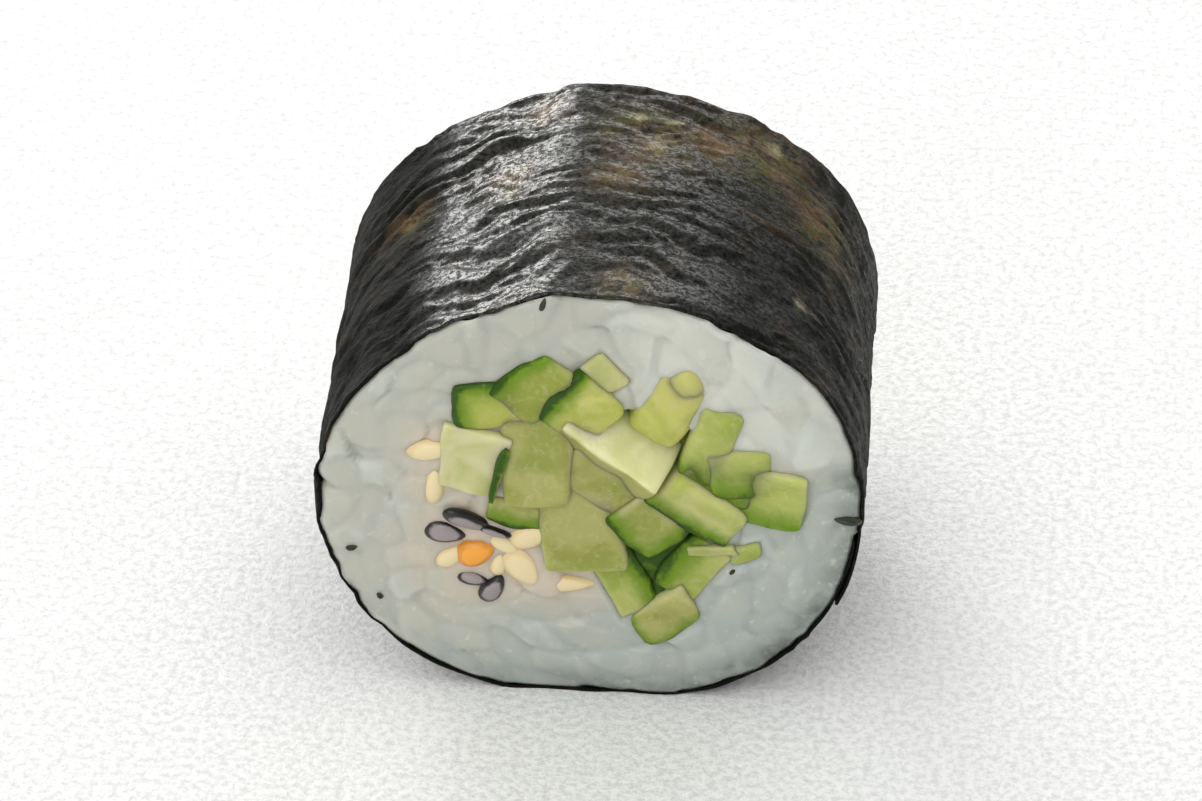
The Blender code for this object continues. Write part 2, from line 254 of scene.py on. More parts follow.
@dataclass(frozen=True)
class NoriFinish:
    """Dark, fibrous sheet of seaweed with a broken gloss."""

    deep: Colour = (0.0035, 0.004, 0.003)
    fibre: Colour = (0.030, 0.029, 0.023)
    olive: Colour = (0.095, 0.085, 0.020)
    brown: Colour = (0.130, 0.078, 0.034)
    tan: Colour = (0.30, 0.26, 0.15)
    mottle: Grain = Grain(1.0, 4.0, 0.65, 0.5, (2.8, 3.4, 1.0))
    relief: Grain = Grain(1.0, 3.0, 0.55, 0.8, (1.1, 1.9, 1.0))
    strands: Grain = Grain(1.0, 3.0, 0.6, 1.0, (0.55, 1.1, 1.0))
    hue: Grain = Grain(1.0, 3.0, 0.6, 0.5, (0.22, 0.4, 1.0))
    specks: Grain = Grain(1.0, 4.0, 0.7, 0.6, (1.3, 1.8, 1.0))
    breaks: Grain = Grain(1.0, 4.0, 0.7, 0.8, (2.6, 3.4, 1.0))

    def material(self) -> bpy.types.Material:
        """Builds the material.

        Its patterns follow the sheet by the attribute wrap, in millimetres. The attributes stain and tan mark where
        the sheet is thin and shows its own colour, and gloss where it is smooth. The last also lightens the base
        colour on the flat strip as painted light and darkens it on the flanks as painted shade.

        Returns:
            The material.
        """
        graph = Graph("nori")
        wrap = graph.attribute("wrap", "Vector")
        mottle = graph.noise(wrap, self.mottle)
        relief = graph.noise(wrap, self.relief)
        strands = graph.noise(wrap, self.strands)
        hue = graph.noise(wrap, self.hue)
        specks = graph.noise(wrap, self.specks)
        breaks = graph.noise(wrap, self.breaks)
        gloss_and_shade = graph.attribute("gloss_and_shade")
        # The base colour is lighter on the flat strip as painted light and darker on the flanks as painted shade.
        colour = graph.mix(graph.step(mottle, 0.40, 0.68) * (0.10 + 1.2 * gloss_and_shade), self.deep, self.fibre)
        warm = graph.mix(graph.step(hue, 0.42, 0.58), self.olive, self.brown)
        thin = graph.attribute("stain") * graph.step(strands, 0.30, 0.62) + graph.step(hue, 0.56, 0.74) * 0.25
        colour = graph.mix(thin, colour, warm)
        bare = graph.step(graph.attribute("tan") * (0.4 + strands) + (specks - 0.5) * 1.8, 0.35, 1.0)
        scattered = graph.step(specks, 0.72, 0.80) * 0.4
        colour = graph.mix(bare * 0.7 + scattered, colour, self.tan)
        normal = graph.bump(strands, 0.30 * MM, 0.8)
        normal = graph.bump(relief, 0.34 * MM, 0.9, normal)
        normal = graph.bump(mottle, 0.14 * MM, 0.9, normal)
        return graph.principled(
            {
                "Base Color": colour,
                "Roughness": 0.45 + 0.36 * mottle,
                "Normal": normal,
                "Specular IOR Level": 0.06,
                "Coat Weight": gloss_and_shade * (0.12 + 0.88 * graph.step(breaks, 0.44, 0.58)),
                "Coat Roughness": 0.27,
            }
        )


@dataclass(frozen=True)
class RiceFinish:
    """Moist pressed rice: milky and clearer between the grains, with painted shade that makes it cooler and darker
    towards the lower right and along its lower rim, and painted light that makes it whiter at its upper right.
    """

    white: Colour = (0.50, 0.50, 0.425)
    # A cooler, darker tone, used both as random tone and as painted shade towards the lower right.
    cool_tone_and_shade: Colour = (0.425, 0.46, 0.425)
    clear: Colour = (0.38, 0.42, 0.39)
    # The darker colour of the painted shade along the lower rim.
    edge: Colour = (0.11, 0.125, 0.11)
    # A milky white, used for the rice's own milkiness and as painted light at the upper right.
    milk_and_light: Colour = (0.74, 0.75, 0.665)
    warm: Colour = (0.68, 0.55, 0.42)
    mottling: Grain = Grain(380.0, 4.0, 0.6, 0.4)
    starch: Grain = Grain(1700.0)

    def material(self) -> bpy.types.Material:
        """Builds the material.

        The attribute tint differs from grain to grain, and gap is 1 between the grains. As seen from in front of
        each cut face, cool grows towards the lower right as a cooler painted shade, shade marks the lower rim with a
        darker painted shade and dry marks the upper right with a whiter painted light. The attribute stain is where
        seeds have coloured the rice.

        Returns:
            The material.
        """
        graph = Graph("sushi_rice")
        spot = graph.place()
        mottled = graph.noise(spot, self.mottling)
        starch = graph.noise(spot, self.starch)
        # Painted shade towards the lower right, varied by grain and by noise.
        cool_tone_and_shade_amount = graph.attribute("cool_tone_and_shade") + (graph.attribute("tint") - 0.5) * 0.6 + (mottled - 0.5) * 2.0
        colour = graph.mix(graph.step(cool_tone_and_shade_amount, 0.0, 1.0), self.white, self.cool_tone_and_shade)
        # Darker painted shade along the lower rim.
        colour = graph.mix(graph.attribute("shade") * (0.3 + graph.step(mottled, 0.3, 0.7)) * 0.8, colour, self.edge)
        colour = graph.mix(graph.attribute("gap") * graph.step(mottled, 0.35, 0.65) * 0.4, colour, self.clear)
        # Milky grains, with painted light added at the upper right.
        milky_and_lit = 0.2 + graph.attribute("tint") * 0.6 + (mottled - 0.5) * 0.8 + graph.attribute("painted_light") * 0.6
        colour = graph.mix(graph.step(milky_and_lit, 0.65, 1.0) * 0.5, colour, self.milk_and_light)
        colour = graph.mix(graph.step(starch, 0.60, 0.75) * 0.35, colour, self.milk_and_light)
        colour = graph.mix(graph.attribute("stain") * graph.step(mottled, 0.20, 0.6), colour, self.warm)
        normal = graph.bump(mottled, 0.16 * MM, 0.6)
        normal = graph.bump(starch, 0.015 * MM, 0.5, normal)
        return graph.principled(
            {
                "Base Color": colour,
                "Roughness": 0.24 + 0.26 * mottled,
                "Normal": normal,
                "Subsurface Weight": 0.8,
                "Subsurface Radius": (0.9, 1.0, 1.0),
                "Subsurface Scale": 1.5 * MM,
                "Coat Weight": 0.2,
                "Coat Roughness": 0.2,
            }
        )


@dataclass(frozen=True)
class CucumberFinish:
    """Wet cucumber: dark skin, a green layer under it and pale flesh."""

    skin: Colour = (0.030, 0.080, 0.003)
    rind: Colour = (0.150, 0.260, 0.010)
    deeper: Colour = (0.70, 0.79, 0.48)
    seedy: Colour = (0.60, 0.58, 0.32)
    unevenness: Grain = Grain(900.0, bend=0.5)
    veins: Grain = Grain(1500.0, 4.0, 0.6, 1.2, (1.0, 0.35, 1.0))
    patches: Grain = Grain(330.0, 2.0, 0.5, 0.6)

    def material(self) -> bpy.types.Material:
        """Builds the material.

        The attribute depth counts millimetres in from the skin and edge millimetres in from the nearest side,
        where the flesh is paler. The attribute flesh is its colour, painted lighter at the top of a piece that faces
        up, as painted light.

        Returns:
            The material.
        """
        graph = Graph("cucumber")
        spot = graph.place()
        uneven = graph.noise(spot, self.unevenness)
        veins = graph.noise(spot, self.veins)
        patchy = graph.noise(spot, self.patches)
        flesh = graph.attribute("flesh", "Color")
        flesh = graph.mix(graph.step(patchy, 0.40, 0.66) * 0.9, flesh, self.deeper, "MULTIPLY")
        flesh = graph.mix(graph.step(veins, 0.45, 0.85) * 0.45, flesh, self.seedy)
        # The flesh is paler towards each piece's sides.
        paler_near_sides = 1 - graph.step(graph.attribute("edge") + (uneven - 0.5) * 0.3, 0.0, 0.45)
        flesh = graph.mix(paler_near_sides * 0.34, flesh, self.seedy)
        below = graph.attribute("depth") + (uneven - 0.5) * 0.9
        rind = graph.mix(graph.step(below, 0.12, 0.5), self.skin, self.rind)
        colour = graph.mix(graph.step(below, 0.35, 1.5), rind, flesh)
        normal = graph.bump(uneven, 0.10 * MM, 0.5)
        normal = graph.bump(veins, 0.03 * MM, 0.6, normal)
        return graph.principled(
            {
                "Base Color": colour,
                "Roughness": 0.26 + 0.25 * uneven,
                "Normal": normal,
                "Specular IOR Level": 0.12,
                "Subsurface Weight": 0.6,
                "Subsurface Radius": (1.0, 1.1, 0.4),
                "Subsurface Scale": 1.6 * MM,
                "Coat Weight": 0.2,
                "Coat Roughness": 0.1,
            }
        )


@dataclass(frozen=True)
class SeedFinish:
    """A sesame seed, or another crumb of its size: one colour in the middle and another on its rim. On the black seeds
    the grey middle is a painted highlight.
    """

    name: str
    middle: Colour
    rim: Colour
    roughness: float = 0.35
    unevenness: Grain = Grain(1500.0)

    def material(self) -> bpy.types.Material:
        """Builds the material. The attribute rim is 1 along a seed's edge and 0 on its flat sides.

        Returns:
            The material.
        """
        graph = Graph(self.name)
        uneven = graph.noise(graph.place(), self.unevenness)
        edge = graph.step(graph.attribute("rim") + (uneven - 0.5) * 0.25, 0.20, 0.38)
        return graph.principled(
            {
                "Base Color": graph.mix(edge, self.middle, self.rim),
                "Roughness": self.roughness + 0.15 * uneven,
                "Normal": graph.bump(uneven, 0.06 * MM, 0.5),
                "Subsurface Weight": 0.1,
                "Subsurface Radius": (1.0, 0.8, 0.5),
                "Subsurface Scale": 0.5 * MM,
                "Coat Weight": 0.3,
                "Coat Roughness": 0.15,
            }
        )


@dataclass(frozen=True)
class PlasterFinish:
    """A plain pale table with a faint plaster grain."""

    pale: Colour = (0.86, 0.86, 0.84)
    grey: Colour = (0.66, 0.66, 0.645)
    grit: Grain = Grain(1900.0, 4.0, 0.75)
    clouds: Grain = Grain(60.0, 3.0, 0.5)

    def material(self) -> bpy.types.Material:
        """Builds the material.

        Returns:
            The material.
        """
        graph = Graph("pale_table")
        spot = graph.place()
        grit = graph.noise(spot, self.grit)
        clouds = graph.noise(spot, self.clouds)
        colour = graph.mix(graph.step(grit, 0.35, 0.6), self.grey, self.pale)
        colour = graph.mix(graph.step(clouds, 0.3, 0.8) * 0.2, colour, self.grey)
        normal = graph.bump(grit, 0.30 * MM, 0.7)
        return graph.principled({"Base Color": colour, "Roughness": 0.75, "Normal": normal})


@dataclass(frozen=True)
class Roll:
    """The outline of the roll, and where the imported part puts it."""

    middle: float
    length: float
    half_width: float = 16.8 * MM
    axis_height: float = 14.6 * MM
    crown: float = 15.2 * MM
    sag: float = 15.1 * MM
    squareness: float = 2.10
    squarer_below: float = 0.20
    squarer_right: float = 0.12

    @classmethod
    def from_frame(cls, knife_proud: float = 0.5 * MM) -> "Roll":
        """Reads the roll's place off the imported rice, which stands a little proud of both cut faces."""
        low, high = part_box("sushi_rice")
        return cls(middle=(low.y + high.y) / 2, length=high.y - low.y - 2 * knife_proud)

    def radius(self, angle: float) -> float:
        """Returns the distance from the roll's axis to the outside of the nori.

        Args:
            angle: The angle round the roll, from 0 on the right and anticlockwise as seen from the front.

        Returns:
            The distance.
        """
        across, up = math.cos(angle), math.sin(angle)
        power = self.squareness - self.squarer_below * up + self.squarer_right * across
        half_height = self.crown if up > 0 else self.sag
        total = abs(across / self.half_width) ** power + abs(up / half_height) ** power
        return total ** (-1 / power)

    def point(self, angle: float, inset: float, y: float) -> Vector:
        """Returns a point inside the outline.

        Args:
            angle: The angle round the roll.
            inset: How far in from the outline it lies.
            y: The distance from the middle of the roll's length.

        Returns:
            The point, no lower than the inset above the table.
        """
        radius = self.radius(angle) - inset
        height = max(self.axis_height + radius * math.sin(angle), inset)
        return Vector((radius * math.cos(angle), self.middle + y, height))


def new_object(name: str, shape: bmesh.types.BMesh, material: bpy.types.Material) -> bpy.types.Object:
    """Makes a smooth-shaded object of a bmesh, which is freed.

    Args:
        name: The piece's name.
        shape: Its mesh, in place.
        material: Its finish.

    Returns:
        The object, at the origin.
    """
    mesh = bpy.data.meshes.new(name)
    shape.to_mesh(mesh)
    shape.free()
    mesh.materials.append(material)
    mesh.shade_smooth()
    made = bpy.data.objects.new(name, mesh)
    bpy.context.scene.collection.objects.link(made)
    return made


def pour(shape: bmesh.types.BMesh, target: bmesh.types.BMesh) -> None:
    """Moves a bmesh, with its attributes, into another one, and frees it.

    Args:
        shape: The mesh that is moved.
        target: The mesh that takes it in.
    """
    passed = bpy.data.meshes.new("passed")
    shape.to_mesh(passed)
    shape.free()
    target.from_mesh(passed)
    bpy.data.meshes.remove(passed)


def dress(piece: bpy.types.Object, node: str) -> bpy.types.Object:
    """Ties a piece to the frame, and reports it.

    Args:
        piece: The piece.
        node: The solid that it stands for.

    Returns:
        The piece.
    """
    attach(piece, BODY)
    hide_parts(node)
    log.info("%s: %d faces, for %s", piece.name, len(piece.data.polygons), node)
    return piece


@dataclass(frozen=True)
class Patch:
    """A place on the nori: its angle in degrees, where it lies along the roll and its size, in millimetres."""

    angle: float
    along: float
    size: float

    def weight(self, angle: float, along: float, radius: float) -> float:
        """Returns 1 at the middle of the patch, fading to 0 outside it.

        Args:
            angle: The angle of a point on the sheet, in radians.
            along: Where the point lies along the roll, in millimetres.
            radius: The roll's radius, in millimetres.

        Returns:
            The weight.
        """
        around = turn_past(self.angle * DEG, angle) * radius
        return bell(math.hypot(around, along - self.along), self.size)


THIN_PATCHES = (
    Patch(80, 6.4, 3.2),
    Patch(64, 7.4, 2.4),
    Patch(52, 8.4, 3.2),
    Patch(86, 1.4, 1.9),
    Patch(106.5, 9.4, 1.2),
    Patch(112, 2.6, 1.6),
    Patch(82, -10.4, 1.5),
    Patch(35, 5.0, 3.0),
    Patch(140, 3.0, 1.5),
)
BARE_PATCHES = (
    Patch(83, 8.5, 1.0),
    Patch(74.5, 8.3, 0.8),
    Patch(49.5, 9.6, 0.9),
    Patch(78, 5.4, 0.8),
    Patch(112, 0.9, 0.7),
    Patch(106, 9.6, 0.6),
    Patch(40, -5.0, 0.8),
)


@dataclass(frozen=True)
class Ripple:
    """One layer of unevenness: how long its waves are round the roll and along it, and which layer of noise it is."""

    around: float
    along: float
    layer: float

    def at(self, around: float, along: float) -> float:
        """Returns its height at a place, to both sides of 0."""
        return noise.noise(Vector((around / self.around, along / self.along, self.layer)))


@dataclass
class NoriSheet:
    """The sheet of nori, wrapped once round the roll with its outer end lapped over its inner end.

    Places round and along the roll, and the waves of each ripple, are in millimetres, but the ragged cut edges take
    the roll's length as 1.
    """

    roll: Roll
    finish: NoriFinish
    thickness: float = 0.17 * MM
    inner_end: float = -6 * DEG
    lap: float = 19 * DEG
    lap_ramp: float = 24 * DEG
    lap_gap: float = 0.10 * MM
    curl: float = 0.8 * MM
    curl_angle: float = 2.5 * DEG
    steps_around: int = 400
    steps_along: int = 110
    drift: Ripple = Ripple(4.6, 6, 2.0)
    drift_reach: float = 1.9
    folds: Ripple = Ripple(8.5, 1.9, 5.0)
    fold_height: float = 0.30 * MM
    puckers: Ripple = Ripple(1.9, 0.9, 9.0)
    pucker_height: float = 0.09 * MM
    sway: Ripple = Ripple(9, 7, 13.0)
    sway_height: float = 0.26 * MM
    patches: Ripple = Ripple(10, 8, 21.0)
    crease_angle: float = 98.5 * DEG
    crease_height: float = 0.20 * MM
    crease_width: float = 2.6
    crease_sharpness: float = 1.3
    wander: float = 0.9
    wander_length: float = 3.2
    wander_layer: float = 41.0
    facet_angle: float = 114 * DEG
    facet_half: float = 17 * DEG
    facet_depth: float = 0.20 * MM
    highest: float = 0.17 * MM
    smooth_below: Pair = (0.6 * MM, 4.6 * MM)
    # Where the sheet is duller; the same values darken its base colour on the flanks as painted shade.
    dull_and_shaded_left: Pair = (10 * DEG, 24 * DEG)
    dull_and_shaded_right: Pair = (-1.12, -0.62)
    dull_and_shaded_low: Pair = (-2.4, -1.6)
    low_gloss_and_shade: float = 0.2
    least_gloss_and_shade: float = 0.06
    rags: Ripple = Ripple(2.5, 1 / 3, 31.0)
    nicks: Ripple = Ripple(0.9, 1 / 3, 37.0)
    nick_above: float = 0.45
    nick_depth: float = 2.2
    edge_wave: float = 0.22 * MM

    def tuck(self, travel: float) -> float:
        """Returns how far in the sheet lies under its own outer end."""
        return (self.thickness + self.lap_gap) * (1 - fade(travel, self.lap, self.lap + self.lap_ramp))

    def mean_radius(self) -> float:
        """Returns the roll's middle radius, in millimetres."""
        return (self.roll.half_width + self.roll.crown) / 2 / MM

    def crinkle(self, around: float, along: float) -> float:
        """Returns the relief of the crinkled sheet.

        Args:
            around: Millimetres round the roll.
            along: Millimetres along the roll.

        Returns:
            The height in metres, to both sides of 0.
        """
        drifted = along + self.drift_reach * self.drift.at(around, along)
        fold = 3.1 * abs(self.folds.at(around, drifted)) - 0.9
        pucker = 1 - 3.0 * abs(self.puckers.at(around, drifted))
        patchy = 0.6 + 0.8 * self.patches.at(around, along)
        sway = self.sway.at(around, along)
        return self.fold_height * patchy * fold + self.pucker_height * pucker + self.sway_height * sway

    def pinch(self, angle: float, along: float) -> float:
        """Returns the height of the crease that runs along the top, and of the flatter strip beside it.

        Args:
            angle: The angle round the roll.
            along: Millimetres along the roll.

        Returns:
            The height in metres.
        """
        wander = self.wander * noise.noise(Vector((along / self.wander_length, self.wander_layer, 0.0)))
        off = turn_past(self.crease_angle, angle) * self.mean_radius() + wander
        crest = max(1 - abs(off) / self.crease_width, 0.0) ** self.crease_sharpness
        turn = turn_past(self.facet_angle, angle) / self.facet_half
        hollow = math.cos(turn * math.pi / 2) ** 2 if abs(turn) < 1 else 0.0
        return self.crease_height * crest - self.facet_depth * hollow

    def lift(self, angle: float, along: float) -> float:
        """Returns how far the sheet's relief carries it outwards.

        Args:
            angle: The angle round the roll.
            along: Millimetres along the roll.

        Returns:
            The distance in metres, below 0 for inwards.
        """
        travel = (self.inner_end - angle) % FULL_TURN
        height = self.roll.axis_height + self.roll.radius(angle) * math.sin(angle)
        above_seam = fade(travel, self.lap, self.lap + self.lap_ramp / 2)
        relief = self.crinkle(travel * self.mean_radius(), along) + self.pinch(angle, along)
        return min(relief, self.highest) * fade(height, *self.smooth_below) * above_seam

    def inset(self, angle: float, y: float) -> float:
        """Returns how far the sheet's inside lies in from the outline.

        Args:
            angle: The angle round the roll.
            y: The distance from the middle of the roll's length.

        Returns:
            The distance in metres.
        """
        return self.tuck((self.inner_end - angle) % FULL_TURN) + self.thickness - self.lift(angle, y / MM)

    def gloss_and_shade(self, angle: float) -> float:
        """Returns how smooth the sheet is: most on the flat strip, and least on the side to the left of it. The same
        value lightens the nori's base colour on the flat strip as painted light and darkens it on the flanks as
        painted shade.

        Args:
            angle: The angle round the roll.

        Returns:
            The smoothness, which is also the strength of the painted light on the base colour, up to 1.
        """
        turn = turn_past(self.facet_angle, angle)
        right = self.low_gloss_and_shade * fade(turn, *self.dull_and_shaded_low) + (1 - self.low_gloss_and_shade) * fade(turn, *self.dull_and_shaded_right)
        return self.least_gloss_and_shade + (1 - self.least_gloss_and_shade) * (1 - fade(turn, *self.dull_and_shaded_left)) * right

    def raggedness(self, around: float, along: float) -> float:
        """Returns how the knife's tears and nicks carry a cut edge outwards.

        Args:
            around: Millimetres round the roll.
            along: The place along the roll, from -0.5 to 0.5.

        Returns:
            The distance, as a share of the edge's wave.
        """
        nick = max(self.nicks.at(around, along) - self.nick_above, 0.0)
        return self.rags.at(around, along) - self.nick_depth * nick

    def build(self) -> bpy.types.Object:
        """Builds the sheet and gives it its thickness.

        Returns:
            The piece.
        """
        sheet = bmesh.new()
        bmesh.ops.create_grid(sheet, x_segments=self.steps_around, y_segments=self.steps_along, size=0.5)
        wrap = sheet.verts.layers.float_vector.new("wrap")
        stain, tan, gloss_and_shade = (sheet.verts.layers.float.new(name) for name in ("stain", "tan", "gloss_and_shade"))
        radius = self.mean_radius()
        for vert in sheet.verts:
            travel = (vert.co.x + 0.5) * (FULL_TURN + self.lap)
            angle = self.inner_end - travel
            around, along = travel * radius, vert.co.y * self.roll.length / MM
            vert[wrap] = Vector((around, along, 0.0))
            vert[stain] = max(patch.weight(angle, along, radius) for patch in THIN_PATCHES)
            vert[tan] = max(patch.weight(angle, along, radius) for patch in BARE_PATCHES)
            # The sheen, which also paints light on the flat strip and shade on the flanks.
            vert[gloss_and_shade] = self.gloss_and_shade(angle)
            reach = 2 * self.edge_wave * self.raggedness(around, vert.co.y)
            curled = self.curl * (1 - fade(travel, 0, self.curl_angle))
            lift = self.lift(angle, along) if travel > self.lap / 2 else 0.0
            vert.co = self.roll.point(angle, self.tuck(travel) + curled - lift, vert.co.y * (self.roll.length + reach))
            vert.co.z = max(vert.co.z, 0.0)
        nori = new_object("nori", sheet, self.finish.material())
        wall = nori.modifiers.new("Thickness", "SOLIDIFY")
        wall.thickness = self.thickness
        wall.offset = -1
        return dress(nori, "nori_sheet")


class Side(Enum):
    """A side of a piece of cucumber that has skin, as (across, up) in the piece's own directions."""

    LEFT = (-1, 0)
    TOP = (0, 1)
    BOTTOM = (0, -1)


class Flesh(Enum):
    """How a piece of cucumber is coloured inside, from the seedy middle to the rind."""

    # No flesh of its own: the lighter colour painted on a top that faces the light, as painted light.
    LIT_TOP = (0.88, 0.84, 0.50)
    PALE = (0.64, 0.60, 0.34)
    SOFT = (0.54, 0.54, 0.21)
    YELLOW = (0.56, 0.545, 0.16)
    OLIVE = (0.41, 0.405, 0.135)
    GREEN = (0.30, 0.34, 0.06)
    FRESH = (0.43, 0.47, 0.13)
    RIND = (0.19, 0.28, 0.022)


@dataclass(frozen=True)
class Chunk:
    """A chopped piece of cucumber at a cut face, in millimetres and degrees.

    Its reach is how far it stands out of the face. Its top may take another colour, painted lighter as painted light
    where it faces up. Its rounding multiplies the usual radius of its edges, peeled is how much of the skin is gone
    and rind how thick the green layer is, with 1 as usual.
    """

    x: float
    z: float
    width: float
    height: float
    turn: float
    reach: float = 0.3
    pitch: float = 0.0
    yaw: float = 0.0
    flesh: Flesh = Flesh.YELLOW
    skin: tuple[Side, ...] = ()
    top: Optional[Flesh] = None
    rounding: float = 1.0
    peeled: float = 0.0
    rind: float = 1.0

    def beyond(self, spot: Vector) -> float:
        """Returns how far a spot on the cut face lies outside the piece.

        Args:
            spot: The place on the face, as (x, z) in millimetres.

        Returns:
            The distance in millimetres, below 0 for inside, or infinity where the piece is clearly out of reach.
        """
        right, up = spot.x - self.x, spot.y - self.z
        if math.hypot(right, up) > self.width + self.height:
            return math.inf
        cos, sin = math.cos(self.turn * DEG), math.sin(self.turn * DEG)
        return max(abs(right * cos + up * sin) - self.width / 2, abs(up * cos - right * sin) - self.height / 2)


LEFT_AND_BOTTOM = (Side.LEFT, Side.BOTTOM)
FRONT_CHUNKS = (
    Chunk(-5.7, 21.5, 4.5, 3.2, 6, 0.5, skin=(Side.TOP, Side.LEFT)),
    Chunk(-3.0, 22.9, 4.7, 3.5, 43, 0.7, flesh=Flesh.GREEN, skin=(Side.TOP,), peeled=0.15),
    Chunk(-0.1, 21.4, 4.1, 4.2, -38, 0.9, skin=(Side.LEFT,)),
    Chunk(0.9, 24.0, 2.8, 2.2, -50, 0.3, flesh=Flesh.PALE),
    Chunk(4.9, 21.8, 6.4, 4.2, 62, 0.5, pitch=-4, rounding=3.4),
    Chunk(5.9, 23.4, 2.8, 2.8, 30, 0.55, rounding=2.6),
    # Its top is painted lighter, as painted light on its upturned face.
    Chunk(1.0, 17.45, 7.1, 3.4, -41, 0.65, pitch=28, yaw=-29, flesh=Flesh.OLIVE, top=Flesh.LIT_TOP, rounding=0.7),
    Chunk(0.8, 16.6, 5.6, 3.6, -37, 0.7, flesh=Flesh.OLIVE, rounding=0.6),
    Chunk(-7.0, 17.4, 4.1, 4.6, -9, 0.8, yaw=-6, flesh=Flesh.PALE, rounding=0.7),
    Chunk(-3.1, 17.8, 4.6, 6.9, 2, 0.95, pitch=-6, yaw=-2, flesh=Flesh.OLIVE, rounding=1.9),
    Chunk(-5.3, 17.0, 0.3, 4.2, -15, 1.25, flesh=Flesh.GREEN, skin=(Side.LEFT,)),
    Chunk(-4.4, 13.6, 3.8, 1.9, -12, 0.5, flesh=Flesh.OLIVE, skin=(Side.BOTTOM,)),
    Chunk(-0.4, 13.0, 5.3, 6.9, 5, 0.75, pitch=-3, flesh=Flesh.OLIVE, rounding=1.9),
    Chunk(3.9, 13.4, 3.8, 4.0, 40, 0.8, yaw=6, flesh=Flesh.OLIVE, skin=LEFT_AND_BOTTOM),
    Chunk(4.3, 9.6, 3.8, 5.0, -12, -0.05, flesh=Flesh.GREEN, skin=(Side.TOP, Side.BOTTOM), rind=14),
    Chunk(7.0, 14.6, 6.0, 3.2, -38, 0.9, pitch=8, flesh=Flesh.SOFT, skin=(Side.BOTTOM,)),
    Chunk(7.5, 19.1, 5.8, 3.0, 73, 0.6, flesh=Flesh.FRESH, skin=(Side.LEFT,), rounding=1.6, peeled=0.25, rind=2.2),
    Chunk(8.1, 16.6, 4.6, 2.2, -26, 0.5, flesh=Flesh.RIND, skin=(Side.BOTTOM,), peeled=0.3),
    Chunk(9.5, 17.2, 4.3, 3.5, 4, 0.55, yaw=6, flesh=Flesh.FRESH, skin=(Side.BOTTOM,), peeled=0.25, rind=2.8),
    Chunk(11.2, 15.5, 4.3, 3.9, -7, 0.6, yaw=-6, flesh=Flesh.FRESH, skin=(Side.BOTTOM,), peeled=0.35, rind=2.0),
    Chunk(2.1, 8.8, 5.4, 2.6, -65, 0.25, flesh=Flesh.FRESH, skin=(Side.TOP,), rounding=1.2, peeled=0.1),
    Chunk(6.5, 9.8, 4.6, 3.0, 58, 0.3, flesh=Flesh.FRESH, skin=(Side.TOP,), peeled=0.1, rind=1.4),
    Chunk(4.8, 6.1, 4.4, 2.9, 37, 0.4, pitch=6, flesh=Flesh.OLIVE, skin=LEFT_AND_BOTTOM, peeled=0.35),
    Chunk(7.7, 11.4, 2.8, 0.6, 4, 0.45, flesh=Flesh.FRESH),
    Chunk(9.7, 11.1, 2.2, 1.3, 20, 0.35, flesh=Flesh.FRESH, rounding=2.0),
)


